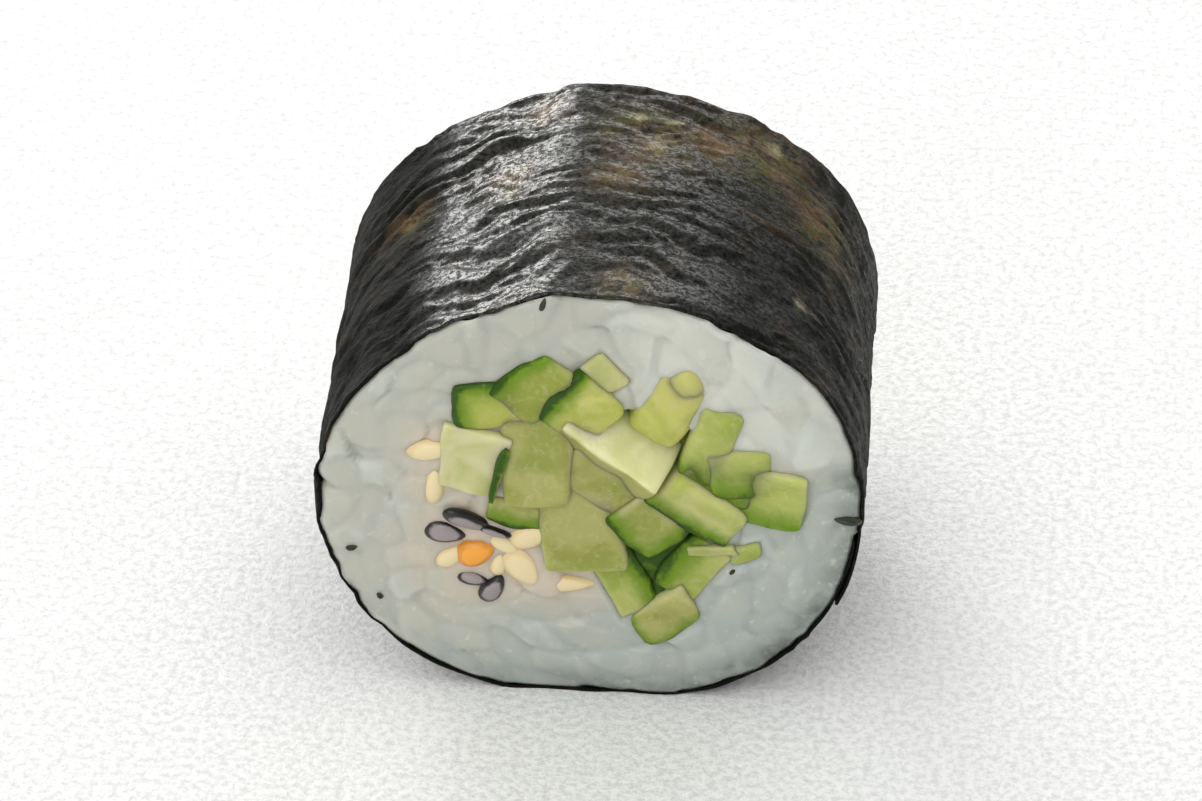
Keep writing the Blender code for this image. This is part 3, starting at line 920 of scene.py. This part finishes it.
@dataclass
class CucumberFilling:
    """The chopped cucumber, which runs through the roll and shows at both cut faces.

    How the pieces shift and turn towards the back face, and how the rice lies round them, is in millimetres and
    degrees, as the pieces themselves are.
    """

    roll: Roll
    finish: CucumberFinish
    depth: float = 7.0 * MM
    edge: float = 0.36 * MM
    edge_play: Pair = (0.8, 1.4)
    edge_share: float = 0.35
    edge_segments: int = 3
    corner_play: float = 0.15
    inner_taper: float = 0.15
    cuts: int = 6
    softening: int = 2
    swell: float = 0.20 * MM
    swell_length: float = 1.7 * MM
    swell_apart: Pair = (7.3, 3.1)
    seeds_apart: int = 80
    skin_bulge: float = 0.28 * MM
    no_skin: float = 8.0
    top_share: Pair = (0.8, 0.95)
    core_centre: Vector = Vector((2.4, 0.0, 15.6)) * MM
    core_half: Vector = Vector((6.2, 0.0, 5.8)) * MM
    core_recess: float = 1.0 * MM
    core_sides: int = 48
    core_depth: float = 1.2
    core_edge: float = 1.0
    back_seed: int = 11
    back_shift: float = 0.8
    back_turn: float = 20
    back_reach: Pair = (-0.2, 0.7)
    back_tilt: float = 10
    rice_below: float = 0.35
    rice_rises: Pair = (-0.15, 0.35)
    rice_below_core: float = 0.6
    core_rim: Pair = (0.92, 1.02)

    def __post_init__(self) -> None:
        """Places the pieces at the front face, and the same pieces where they come out of the back."""
        rng = random.Random(self.back_seed)
        self.placed = {FRONT: FRONT_CHUNKS, BACK: tuple(self._come_out(chunk, rng) for chunk in FRONT_CHUNKS)}

    def _come_out(self, chunk: Chunk, rng: random.Random) -> Chunk:
        """Shifts and turns one piece a little for the back face.

        Args:
            chunk: The piece at the front.
            rng: What draws its shift and turn.

        Returns:
            The piece at the back.
        """
        return replace(
            chunk,
            x=chunk.x + rng.uniform(-self.back_shift, self.back_shift),
            z=chunk.z + rng.uniform(-self.back_shift, self.back_shift),
            turn=chunk.turn + rng.uniform(-self.back_turn, self.back_turn),
            reach=rng.uniform(*self.back_reach),
            pitch=rng.uniform(-self.back_tilt, self.back_tilt),
            yaw=rng.uniform(-self.back_tilt, self.back_tilt),
        )

    def _cut(self, chunk: Chunk, half: Vector, rng: random.Random) -> bmesh.types.BMesh:
        """Cuts one uneven block with rounded edges, from its outer end at 0 inwards along +Y.

        Args:
            chunk: The piece.
            half: Half its width and height, in metres.
            rng: What draws its unevenness.

        Returns:
            The block's mesh.
        """
        box = bmesh.new()
        bmesh.ops.create_cube(box, size=1)
        for vert in box.verts:
            play = rng.uniform(-self.corner_play, self.corner_play) if vert.co.y < 0 else -self.inner_taper
            across, up = vert.co.x * 2 * half.x * (1 + play), vert.co.z * 2 * half.y * (1 + play)
            vert.co = Vector((across, (vert.co.y + 0.5) * (self.depth + chunk.reach * MM), up))
        width = min(self.edge * rng.uniform(*self.edge_play), self.edge_share * min(half)) * chunk.rounding
        bmesh.ops.bevel(
            box,
            geom=list(box.edges),
            offset=width,
            segments=self.edge_segments,
            profile=0.5,
            material=-1,
            affect="EDGES",
        )
        wide = [edge for edge in box.edges if edge.calc_length() > 3 * width]
        bmesh.ops.subdivide_edges(box, edges=wide, cuts=self.cuts, use_grid_fill=True)
        bmesh.ops.recalc_face_normals(box, faces=box.faces)
        return box

    def _soften(self, box: bmesh.types.BMesh, chunk: Chunk, half: Vector, shift: Vector) -> None:
        """Smooths a block, swells it here and there and rounds its skin.

        Args:
            box: The block's mesh.
            chunk: The piece.
            half: Half its width and height, in metres.
            shift: Where its noise is read.
        """
        for _ in range(self.softening if min(half) > self.edge else 0):
            bmesh.ops.smooth_vert(
                box, verts=box.verts, factor=0.5, use_axis_x=True, use_axis_y=True, use_axis_z=True
            )
        box.normal_update()
        moved = [vert.normal * self.swell * noise.noise(vert.co / self.swell_length + shift) for vert in box.verts]
        for vert, move in zip(box.verts, moved):
            vert.co += move + self._skin_bulge(vert.co, half, chunk)

    def _set_in(self, box: bmesh.types.BMesh, side: int, chunk: Chunk) -> None:
        """Turns and tilts a block, and sets it in its cut face.

        Args:
            box: The block's mesh.
            side: FRONT or BACK.
            chunk: The piece.
        """
        bmesh.ops.rotate(box, matrix=Matrix.Rotation(-chunk.turn * DEG, 3, "Y"), verts=box.verts)
        tilt = Matrix.Rotation(chunk.yaw * DEG, 3, "Z") @ Matrix.Rotation(chunk.pitch * DEG, 3, "X")
        bmesh.ops.rotate(box, matrix=tilt, verts=box.verts)
        if side == BACK:
            bmesh.ops.scale(box, vec=(1, -1, 1), verts=box.verts)
            bmesh.ops.reverse_faces(box, faces=box.faces)
        face = self.roll.middle + side * (self.roll.length / 2 + chunk.reach * MM)
        bmesh.ops.translate(box, vec=(chunk.x * MM, face, chunk.z * MM), verts=box.verts)

    def _shape(self, target: bmesh.types.BMesh, side: int, chunk: Chunk, seed: int) -> None:
        """Adds one piece to the filling's mesh.

        Args:
            target: The mesh that it is added to.
            side: FRONT or BACK.
            chunk: The piece.
            seed: The seed of its own unevenness.
        """
        half = Vector((chunk.width, chunk.height)) * MM / 2
        box = self._cut(chunk, half, random.Random(seed))
        depths = [self._skin_depth(vert.co, half, chunk) for vert in box.verts]
        edges = [min(half.x - abs(vert.co.x), half.y - abs(vert.co.z)) / MM for vert in box.verts]
        # A piece's top can be painted another colour, as painted light.
        flesh, crown = Vector(chunk.flesh.value), Vector((chunk.top or chunk.flesh).value)
        colours = [flesh.lerp(crown, fade(vert.co.z / half.y, *self.top_share)) for vert in box.verts]
        self._soften(box, chunk, half, Vector((seed * self.swell_apart[0], 0, side * self.swell_apart[1])))
        self._set_in(box, side, chunk)
        self._merge(target, box, depths, edges, colours)

    def _skin_depth(self, point: Vector, half: Vector, chunk: Chunk) -> float:
        """Returns how far below the skin a point of a piece lies.

        Args:
            point: The point, on the untilted block.
            half: Half the piece's width and height, in metres.
            chunk: The piece.

        Returns:
            The depth, in millimetres of a usual rind.
        """
        found = self.no_skin
        for side in chunk.skin:
            across, up = side.value
            reach = half.x if across else half.y
            found = min(found, (reach - (point.x * across + point.z * up)) / MM / chunk.rind)
        return max(found, 0.0) + chunk.peeled

    def _skin_bulge(self, point: Vector, half: Vector, chunk: Chunk) -> Vector:
        """Returns how the cucumber's round skin carries a point of a piece outwards.

        Args:
            point: The point, on the untilted block.
            half: Half the piece's width and height, in metres.
            chunk: The piece.

        Returns:
            The point's move.
        """
        move = Vector()
        for side in chunk.skin:
            across, up = side.value
            reach, other = (half.x, point.z / half.y) if across else (half.y, point.x / half.x)
            near = fade(point.x * across + point.z * up, 0, reach)
            move += Vector((across, 0, up)) * (self.skin_bulge * near * max(1 - other * other, 0.0))
        return move

    @staticmethod
    def _merge(
        target: bmesh.types.BMesh,
        box: bmesh.types.BMesh,
        depths: Sequence[float],
        edges: Sequence[float],
        colours: Sequence[Vector],
    ) -> None:
        """Moves one piece's mesh into the filling's mesh.

        Args:
            target: The filling's mesh.
            box: The piece's mesh.
            depths: How far each of its points lies below the skin.
            edges: How far in from the nearest side each point lies.
            colours: The flesh's colour at each point.
        """
        depth_layer = box.verts.layers.float.new("depth")
        edge_layer = box.verts.layers.float.new("edge")
        flesh_layer = box.verts.layers.float_color.new("flesh")
        for vert, depth, edge, colour in zip(box.verts, depths, edges, colours):
            vert[depth_layer], vert[edge_layer] = depth, max(edge, 0.0)
            vert[flesh_layer] = (*colour, 1.0)
        pour(box, target)

    def hold_under(self, height: float, side: int, spot: Vector) -> float:
        """Lowers the rice where cucumber lies over it.

        Args:
            height: How far the rice would stand out of the cut face, in millimetres.
            side: FRONT or BACK.
            spot: The place on the face, as (x, z) in millimetres.

        Returns:
            The height that is left.
        """
        for chunk in self.placed[side]:
            beyond = chunk.beyond(spot)
            if beyond < self.rice_rises[1]:
                under = chunk.reach - self.rice_below
                height = min(height, under + (height - under) * fade(beyond, *self.rice_rises))
        right, up = spot.x - self.core_centre.x / MM, spot.y - self.core_centre.z / MM
        away = math.hypot(right * MM / self.core_half.x, up * MM / self.core_half.z)
        sunk = -(self.core_recess / MM + self.rice_below_core)
        return min(height, sunk + (height - sunk) * fade(away, *self.core_rim))

    def _core(self) -> bmesh.types.BMesh:
        """Builds the middle of the filling, which shows only in the gaps between the pieces.

        Returns:
            Its mesh.
        """
        core = bmesh.new()
        length = self.roll.length - 2 * self.core_recess
        bmesh.ops.create_cone(core, cap_ends=True, segments=self.core_sides, radius1=1, radius2=1, depth=length)
        bmesh.ops.scale(core, vec=(self.core_half.x, self.core_half.z, 1), verts=core.verts)
        bmesh.ops.rotate(core, matrix=Matrix.Rotation(math.pi / 2, 3, "X"), verts=core.verts)
        bmesh.ops.translate(core, vec=self.core_centre + Vector((0, self.roll.middle, 0)), verts=core.verts)
        return core

    def build(self) -> bpy.types.Object:
        """Builds every piece of cucumber as one mesh.

        Returns:
            The piece.
        """
        filling = bmesh.new()
        filling.verts.layers.float.new("depth")
        filling.verts.layers.float.new("edge")
        filling.verts.layers.float_color.new("flesh")
        core = self._core()
        count = len(core.verts)
        colours = [Vector(Flesh.GREEN.value)] * count
        self._merge(filling, core, [self.core_depth] * count, [self.core_edge] * count, colours)
        for side, first_seed in ((FRONT, 0), (BACK, self.seeds_apart)):
            for number, chunk in enumerate(self.placed[side]):
                self._shape(filling, side, chunk, first_seed + number)
        made = new_object("chopped_cucumber", filling, self.finish.material())
        return dress(made, "cucumber_filling")


class Kind(Enum):
    """The small things strewn on the cut faces, each with its finish."""

    # The black seeds are near black; their grey middle is a painted highlight.
    BLACK = SeedFinish("black_sesame", middle=(0.30, 0.255, 0.26), rim=(0.006, 0.004, 0.004))
    WHITE = SeedFinish("white_sesame", middle=(0.80, 0.66, 0.38), rim=(0.76, 0.58, 0.30))
    NORI = SeedFinish("nori_crumb", middle=(0.010, 0.012, 0.006), rim=(0.030, 0.034, 0.016), roughness=0.4)
    ORANGE = SeedFinish("orange_crumb", middle=(0.90, 0.36, 0.03), rim=(0.74, 0.28, 0.02), roughness=0.25)


@dataclass(frozen=True)
class Seed:
    """One seed on a cut face, in millimetres and degrees. Its tinge is how far it colours the rice round it."""

    x: float
    z: float
    turn: float
    kind: Kind = Kind.WHITE
    length: float = 2.9
    width: float = 1.8
    lean: float = 0.0
    sink: float = 0.0
    tinge: float = 1.0


STREWN = {
    FRONT: (
        Seed(-8.8, 12.0, -10, Kind.BLACK, length=2.7, width=2.0, lean=-8),
        Seed(-7.4, 13.1, -28, Kind.BLACK, length=3.3, width=1.7, lean=22, sink=-0.25),
        Seed(-5.7, 12.3, -18, Kind.BLACK, length=2.2, width=0.7, sink=-0.2),
        Seed(-7.1, 8.5, -12, Kind.BLACK, length=2.1, width=1.2, lean=-30, tinge=0.6),
        Seed(-5.9, 7.8, 62, Kind.BLACK, length=2.5, width=1.8, lean=10, tinge=0.6),
        Seed(-4.0, 9.5, -52, length=3.4, width=2.7, tinge=1.2),
        Seed(-3.5, 11.9, 22, length=3.0, width=2.1, tinge=1.5),
        Seed(-5.1, 11.2, -35, length=2.5, width=1.7, sink=0.1, tinge=1.4),
        Seed(-8.4, 10.1, 40, length=2.6, sink=0.2, tinge=1.3),
        Seed(-9.5, 18.0, 10, length=3.3, width=1.9, sink=0.15, tinge=0.9),
        Seed(-9.4, 15.5, 86, length=3.4, width=1.6, sink=0.2, tinge=0.9),
        Seed(-1.3, 8.3, 5, length=3.8, width=1.6, sink=0.2, tinge=1.1),
        Seed(-5.5, 9.7, 80, length=2.0, width=1.4, sink=0.1, tinge=1.3),
        Seed(-6.9, 10.5, 25, Kind.ORANGE, length=2.7, width=2.4, tinge=1.9),
        Seed(-2.7, 28.9, 70, Kind.NORI, length=1.2, width=0.8, sink=0.3, tinge=0.05),
        Seed(-14.6, 10.4, 10, Kind.NORI, length=0.8, width=0.5, sink=0.25, tinge=0.05),
        Seed(8.9, 9.8, 40, Kind.NORI, length=0.7, width=0.5, sink=0.2, tinge=0.05),
        Seed(15.9, 13.9, 174, Kind.NORI, length=1.8, width=0.8, sink=0.2, tinge=0.05),
        Seed(-12.9, 6.8, -30, Kind.NORI, length=0.5, width=0.4, sink=0.25, tinge=0.05),
    ),
    BACK: (
        Seed(-8.6, 12.6, 30, Kind.BLACK),
        Seed(-7.0, 9.4, -35, Kind.BLACK),
        Seed(-9.4, 16.4, 70, length=3.2, sink=0.05, tinge=0.6),
        Seed(-5.2, 8.8, 10, length=3.2, tinge=0.7),
        Seed(9.4, 22.6, -40, length=3.2, sink=0.05, tinge=0.5),
        Seed(12.6, 11.2, 50, Kind.BLACK),
    ),
}


@dataclass
class SesameSeeds:
    """The seeds of one kind, on both cut faces."""

    roll: Roll
    kind: Kind
    thickness: float = 1.0 * MM
    taper: float = 0.42
    level: float = 0.15 * MM
    sides: int = 20
    rings: int = 12

    def _seed(self, side: int, seed: Seed) -> bmesh.types.BMesh:
        """Builds one seed: flat, and narrower at one end.

        Args:
            side: FRONT or BACK.
            seed: The seed.

        Returns:
            Its mesh.
        """
        shape = bmesh.new()
        bmesh.ops.create_uvsphere(shape, u_segments=self.sides, v_segments=self.rings, radius=0.5)
        bmesh.ops.rotate(shape, matrix=Matrix.Rotation(math.pi / 2, 3, "Y"), verts=shape.verts)
        rim = shape.verts.layers.float.new("rim")
        for vert in shape.verts:
            x, y, z = vert.co
            vert[rim] = 1 - abs(2 * y)
            narrower = 1 - self.taper * (x + 0.5)
            vert.co = Vector((x * seed.length * MM, y * self.thickness, z * seed.width * MM * narrower))
        matrix = Matrix.Rotation(seed.lean * DEG, 3, "X") @ Matrix.Rotation(-seed.turn * DEG, 3, "Y")
        bmesh.ops.rotate(shape, matrix=matrix, verts=shape.verts)
        face = self.roll.middle + side * (self.roll.length / 2 + self.level - seed.sink * MM)
        bmesh.ops.translate(shape, vec=(seed.x * MM, face, seed.z * MM), verts=shape.verts)
        return shape

    def build(self) -> bpy.types.Object:
        """Builds the seeds as one mesh.

        Returns:
            The piece.
        """
        seeds = bmesh.new()
        seeds.verts.layers.float.new("rim")
        for side, strewn in STREWN.items():
            for seed in strewn:
                if seed.kind is self.kind:
                    pour(self._seed(side, seed), seeds)
        finish = self.kind.value
        return dress(new_object(finish.name, seeds, finish.material()), "sushi_rice")


@dataclass(frozen=True)
class SlicedGrain:
    """A grain of rice where the knife went through it, in millimetres on the cut face."""

    centre: Vector
    along: Vector
    length: float
    width: float
    height: float
    slope: Vector
    dome: float
    tint: float

    def reach(self, spot: Vector) -> float:
        """Returns how far out a spot lies.

        Args:
            spot: The place on the face, as (x, z).

        Returns:
            The distance, with 1 at the grain's own edge.
        """
        away = spot - self.centre
        along = away.dot(self.along)
        across = away.x * self.along.y - away.y * self.along.x
        return math.hypot(2 * along / self.length, 2 * across / self.width)

    def stands(self, spot: Vector, reach: float) -> float:
        """Returns how far the grain stands out at a spot, in millimetres."""
        return self.height + self.slope.dot(spot - self.centre) - self.dome * reach * reach


@dataclass
class SlicedFace:
    """One cut face of the rice, tiled with grains, of which a few are whole and stand out.

    Its sizes are in millimetres, and lie_spread is in degrees.
    """

    roll: Roll
    seed: int
    spacing: float = 1.9
    tries: int = 5000
    lengths: Pair = (3.6, 7.0)
    widths: Pair = (1.8, 2.8)
    whole_share: float = 0.22
    whole_height: float = 0.10
    whole_dome: Pair = (0.10, 0.20)
    cut_dome: Pair = (0.0, 0.04)
    height_spread: float = 0.06
    slope_spread: float = 0.05
    lie_spread: float = 45
    neighbours: int = 7
    blended: int = 4
    blend: float = 0.16
    crease: float = 0.05
    crease_width: float = 0.34
    pit: float = 0.22
    pit_reach: Pair = (0.95, 1.3)

    def __post_init__(self) -> None:
        """Scatters the grains."""
        rng = random.Random(self.seed)
        self.grains: list[SlicedGrain] = []
        width, height = self.roll.half_width / MM, self.roll.axis_height / MM
        for _ in range(self.tries):
            spot = Vector((rng.uniform(-1, 1) * width, rng.uniform(0, 2) * height))
            if all((spot - grain.centre).length > self.spacing for grain in self.grains):
                self.grains.append(self._slice(spot, rng))
        self.tree = kdtree.KDTree(len(self.grains))
        for number, grain in enumerate(self.grains):
            self.tree.insert((*grain.centre, 0), number)
        self.tree.balance()

    def _slice(self, spot: Vector, rng: random.Random) -> SlicedGrain:
        """Makes the grain at one spot. Grains lie round the roll more often than across it.

        Args:
            spot: The middle of the grain, as (x, z).
            rng: What draws its lie and size.

        Returns:
            The grain.
        """
        outwards = math.atan2(spot.y - self.roll.axis_height / MM, spot.x)
        around = outwards + math.pi / 2 + rng.gauss(0, self.lie_spread) * DEG
        whole = rng.random() < self.whole_share
        return SlicedGrain(
            centre=spot,
            along=Vector((math.cos(around), math.sin(around))),
            length=rng.uniform(*self.lengths),
            width=rng.uniform(*self.widths),
            height=rng.gauss(self.whole_height if whole else 0.0, self.height_spread),
            slope=Vector((rng.gauss(0, self.slope_spread), rng.gauss(0, self.slope_spread))),
            dome=rng.uniform(*(self.whole_dome if whole else self.cut_dome)),
            tint=rng.random(),
        )

    def relief(self, spot: Vector) -> tuple[float, float, float]:
        """Reads the face at a spot.

        Args:
            spot: The place on the face, as (x, z) in millimetres.

        Returns:
            How far the rice stands out in millimetres, how much of a gap there is and the tint of the grain.
        """
        near = [self.grains[number] for _, number, _ in self.tree.find_n((*spot, 0), self.neighbours)]
        reaches = sorted(((grain.reach(spot), number) for number, grain in enumerate(near)))
        nearest, second = reaches[0][0], reaches[1][0]
        total = height = tint = 0.0
        for reach, number in reaches[: self.blended]:
            weight = bell(reach - nearest, self.blend)
            total += weight
            height += weight * near[number].stands(spot, reach)
            tint += weight * near[number].tint
        gap = bell(second - nearest, self.crease_width)
        open_gap = gap * fade(nearest, *self.pit_reach)
        return height / total - self.crease * gap - self.pit * open_gap, gap, tint / total


@dataclass
class RiceBed:
    """The rice: one pressed body that fills the nori, with the sliced grains on both cut faces.

    Its relief and its marks are in millimetres. A slope is how much a mark grows to the right and upwards, as seen
    from in front of each cut face, and a span is where it starts and where it is full. The shade's slope goes by the
    direction from the middle alone.
    """

    roll: Roll
    nori: NoriSheet
    filling: CucumberFilling
    finish: RiceFinish
    steps_around: int = 380
    face_rings: int = 60
    wall_rings: int = 3
    wall_step: float = 0.8 * MM
    press: float = 0.03 * MM
    crowding: float = 0.85
    face_seed: int = 30
    level: float = 0.10
    pillow: float = 0.22
    rim_drop: float = 0.20
    rim_width: float = 0.6
    # The cooler tone and the shade are painted shade, and the whiter upper right is painted light.
    cool_shade_slope: Pair = (0.6, -0.9)
    cool_shade_span: Pair = (-6, 16)
    painted_light_right: Pair = (0, 9)
    painted_light_up: Pair = (14, 20)
    shade_slope: Pair = (0.6, -0.45)
    shade_span: Pair = (-0.3, 0.7)
    shade_width: float = 3.4
    warmth: float = 2.0

    def _marks(self, side: int, angle: float, spot: Vector, inside: float) -> dict[str, float]:
        """Works out how a cut face is coloured at a spot, with its painted shade, its painted light and the seeds'
        stains.

        Args:
            side: FRONT or BACK.
            angle: The angle round the roll.
            spot: The place on the face, as (x, z) in millimetres.
            inside: How far in from the nori it lies, in millimetres.

        Returns:
            The attributes cool, dry, shade and stain: a cooler painted shade, a whiter painted light, a darker painted
            shade along the rim and the seeds' stains.
        """
        right, up = -side * spot.x, spot.y - self.roll.axis_height / MM
        low = self.shade_slope[1] * math.sin(angle) - side * self.shade_slope[0] * math.cos(angle)
        nearest = min((spot - Vector((seed.x, seed.z))).length / seed.tinge for seed in STREWN[side])
        # Painted shade towards the lower right, painted light at the upper right, painted shade along the rim, and the
        # seeds' stains.
        return {
            "cool_tone_and_shade": fade(self.cool_shade_slope[0] * right + self.cool_shade_slope[1] * up, *self.cool_shade_span),
            "painted_light": fade(right, *self.painted_light_right) * fade(spot.y, *self.painted_light_up),
            "shade": fade(low, *self.shade_span) * (1 - fade(inside, 0, self.shade_width)),
            "stain": bell(nearest, self.warmth),
        }

    def build(self) -> bpy.types.Object:
        """Builds the body. Its poles are the middles of the cut faces, and its rings run out to the nori.

        Returns:
            The piece.
        """
        rice = bmesh.new()
        rings = 2 * self.face_rings + self.wall_rings
        bmesh.ops.create_uvsphere(rice, u_segments=self.steps_around, v_segments=rings, radius=1)
        layers = {name: rice.verts.layers.float.new(name) for name in ("tint", "gap", "cool_tone_and_shade", "painted_light", "shade", "stain")}
        faces = {side: SlicedFace(self.roll, self.face_seed + side) for side in (FRONT, BACK)}
        centre = Vector((0, self.roll.middle, self.roll.axis_height))
        for vert in rice.verts:
            ring = round(math.acos(max(min(vert.co.z, 1.0), -1.0)) / math.pi * rings)
            angle = math.atan2(vert.co.y, vert.co.x)
            side = FRONT if ring <= rings / 2 else BACK
            out = min(ring, rings - ring) / self.face_rings
            end = side * self.roll.length / 2
            if out > 1:
                inset = self.nori.inset(angle, end) + self.wall_step
                vert.co = self.roll.point(angle, inset, end - side * self.wall_step)
                continue
            rim = self.roll.point(angle, self.nori.inset(angle, end) + self.press, end)
            place = centre + (rim - centre) * out**self.crowding
            spot = Vector((place.x, place.z)) / MM
            inside = (1 - out**self.crowding) * (rim - centre).length / MM
            height, gap, tint = faces[side].relief(spot)
            height += self.level + self.pillow * (1 - out * out)
            height -= self.rim_drop * (1 - fade(inside, 0, self.rim_width)) ** 2
            height = self.filling.hold_under(height, side, spot)
            vert.co = Vector((place.x, self.roll.middle + end + side * height * MM, place.z))
            for name, mark in {"tint": tint, "gap": gap, **self._marks(side, angle, spot, inside)}.items():
                vert[layers[name]] = mark
        made = new_object("rice_grains", rice, self.finish.material())
        return dress(made, "sushi_rice")


@dataclass(frozen=True)
class Softbox:
    """A soft light: which way it hangs from the roll and how far off, its size in metres and its power in watts."""

    name: str
    towards: tuple[float, float, float]
    distance: float
    size: Pair
    power: float
    tint: Colour
    glossy: bool = True

    def hang(self, target: Vector) -> None:
        """Hangs the light so that it faces a target.

        Args:
            target: What it faces.
        """
        data = bpy.data.lights.new(self.name, "AREA")
        data.shape = "RECTANGLE"
        data.size, data.size_y = self.size
        data.energy = self.power
        data.color = self.tint
        light = bpy.data.objects.new(self.name, data)
        bpy.context.scene.collection.objects.link(light)
        direction = Vector(self.towards).normalized()
        light.location = target + direction * self.distance
        light.rotation_euler = (-direction).to_track_quat("-Z", "Y").to_euler()
        light.visible_glossy = self.glossy


SOFTBOXES = (
    Softbox("window", (-0.42, 0.81, 0.33), 0.9, (0.46, 0.40), 4.8, (1.0, 0.99, 0.97)),
    Softbox("bounce", (0.33, 0.81, 0.42), 0.9, (0.7, 0.45), 2.3, (1.0, 0.98, 0.96)),
    Softbox("overhead", (-0.1, -0.1, 1.0), 1.1, (2.2, 2.2), 17.0, (1.0, 1.0, 1.0), glossy=False),
    Softbox("fill", (-0.35, -0.9, 0.55), 1.3, (0.9, 0.9), 5.0, (0.99, 1.0, 0.97)),
)


@dataclass
class Studio:
    """The pale table, the soft light and the camera."""

    roll: Roll
    elevation: float = 35.7 * DEG
    azimuth: float = 4.0 * DEG
    distance: float = 400 * MM
    lens: float = 196.0
    clip_start: float = 10 * MM
    aim_height: float = 13.8 * MM
    floor_size: float = 3.0
    sky: Colour = (0.93, 0.96, 1.0)
    sky_strength: float = 0.38

    def build(self) -> None:
        """Builds the table, the lights and the camera."""
        self._table()
        self._lights()
        self._camera()

    def _table(self) -> None:
        """Builds the table top."""
        top = bmesh.new()
        bmesh.ops.create_grid(top, x_segments=1, y_segments=1, size=self.floor_size / 2)
        new_object("table", top, PlasterFinish().material())

    def _lights(self) -> None:
        """Hangs the soft lights round the roll, under a pale sky."""
        for softbox in SOFTBOXES:
            softbox.hang(Vector((0, 0, self.roll.axis_height)))
        world = bpy.data.worlds.new("sky")
        world.use_nodes = True
        background = world.node_tree.nodes["Background"]
        background.inputs["Color"].default_value = (*self.sky, 1.0)
        background.inputs["Strength"].default_value = self.sky_strength
        bpy.context.scene.world = world
        bpy.context.scene.view_settings.view_transform = "Standard"

    def _camera(self) -> None:
        """Places the camera at the photograph's height and side, closer up."""
        data = bpy.data.cameras.new("camera")
        data.lens = self.lens
        data.clip_start = self.clip_start
        camera = bpy.data.objects.new("camera", data)
        bpy.context.scene.collection.objects.link(camera)
        level = math.cos(self.elevation)
        back = Vector((math.sin(self.azimuth) * level, -math.cos(self.azimuth) * level, math.sin(self.elevation)))
        face = Vector((0, self.roll.middle - self.roll.length / 2, self.roll.axis_height))
        camera.location = face + back * self.distance
        aim = Vector((0, self.roll.middle, self.aim_height)) - camera.location
        camera.rotation_euler = aim.to_track_quat("-Z", "Y").to_euler()
        bpy.context.scene.camera = camera


def main() -> None:
    """Loads the frame, builds every piece and reports it."""
    logging.basicConfig(level=logging.INFO, format="%(name)s: %(message)s")
    for obj in list(bpy.data.objects):
        bpy.data.objects.remove(obj)
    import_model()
    roll = Roll.from_frame()
    nori = NoriSheet(roll, NoriFinish())
    filling = CucumberFilling(roll, CucumberFinish())
    nori.build()
    filling.build()
    RiceBed(roll, nori, filling, RiceFinish()).build()
    for kind in Kind:
        SesameSeeds(roll, kind).build()
    Studio(roll).build()


if __name__ == "__main__":
    main()
